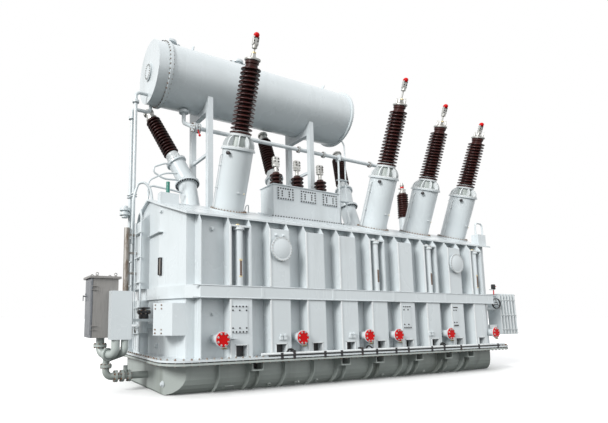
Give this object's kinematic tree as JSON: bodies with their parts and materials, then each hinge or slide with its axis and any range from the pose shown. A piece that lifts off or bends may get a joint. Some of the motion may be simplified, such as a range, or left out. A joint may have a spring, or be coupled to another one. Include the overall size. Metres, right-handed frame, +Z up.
{
  "type": "power transformer",
  "caption": "Oil-filled power transformer: flanged bell tank on a tub base, leaning porcelain bushings, raised cylindrical conservator and a hinged-door control cabinet.",
  "frame": {"origin": "on the ground, under the middle of the tank", "axes": "+X along the tank, away from the control cabinet; -Y towards the high-voltage side; +Z up"},
  "size_m": [13.539, 4.4294, 9.1247],
  "materials": {
    "black_rubber": "black oil-resistant rubber",
    "brown_porcelain": "dark brown glazed porcelain",
    "cabinet_steel": "dull stainless sheet",
    "green_plastic": "green plastic",
    "grey_paint": "light blue-grey semi-gloss enamel",
    "red_enamel": "bright red enamel",
    "tub_grey_paint": "light grey enamel, slightly darker and dusty"
  },
  "bodies": {
    "transformer": {"back_lower_stiffeners": "grey_paint", "back_upper_stiffeners": "grey_paint", "belt_band": "grey_paint", "breather": "green_plastic", "cabinet_body": "cabinet_steel", "cabinet_bracket": "grey_paint", "cabinet_conduits": "grey_paint", "cabinet_roof": "cabinet_steel", "cable_conduit": "grey_paint", "conservator_left_end": "grey_paint", "conservator_right_end": "grey_paint", "conservator_shell": "grey_paint", "conservator_support_1": "grey_paint", "conservator_support_2": "grey_paint", "cooler": "grey_paint", "cover_boxes": "grey_paint", "end_lower_stiffeners": "grey_paint", "end_pipes": "grey_paint", "end_upper_stiffeners": "grey_paint", "flange_gasket": "black_rubber", "front_lower_stiffeners": "grey_paint", "front_upper_stiffeners": "grey_paint", "gas_pipe": "grey_paint", "hv_bushing_1": "brown_porcelain", "hv_bushing_2": "brown_porcelain", "hv_bushing_3": "brown_porcelain", "hv_bushing_4": "brown_porcelain", "hv_turret_1": "grey_paint", "hv_turret_2": "grey_paint", "hv_turret_3": "grey_paint", "hv_turret_4": "grey_paint", "jacking_pads": "tub_grey_paint", "lower_flange": "tub_grey_paint", "lower_tank": "tub_grey_paint", "lower_tank_ribs": "tub_grey_paint", "lv_box": "grey_paint", "lv_box_lid": "grey_paint", "lv_bushing_1": "brown_porcelain", "lv_bushing_2": "brown_porcelain", "lv_bushing_3": "brown_porcelain", "lv_inspection_plates": "grey_paint", "manhole_covers": "grey_paint", "mv_bushing_1": "brown_porcelain", "mv_bushing_2": "brown_porcelain", "mv_bushing_3": "brown_porcelain", "mv_turret_1": "grey_paint", "mv_turret_2": "grey_paint", "mv_turret_3": "grey_paint", "neutral_bushing": "brown_porcelain", "neutral_pedestal": "grey_paint", "riser_columns": "grey_paint", "stub_blanks": "red_enamel", "tank_cover": "grey_paint", "terminal_boxes": "grey_paint", "upper_flange": "grey_paint", "upper_tank": "grey_paint", "valve_stubs": "grey_paint"},
    "cabinet_door": {"cabinet_door": "cabinet_steel"}
  },
  "joints": [
    {"name": "cabinet_door_hinge", "type": "hinge", "parent": "transformer", "child": "cabinet_door", "pos_m": [-6.866, -1.166, 1.7825], "axis": [0, 0, 1], "range_deg": [0, 110]}
  ]
}
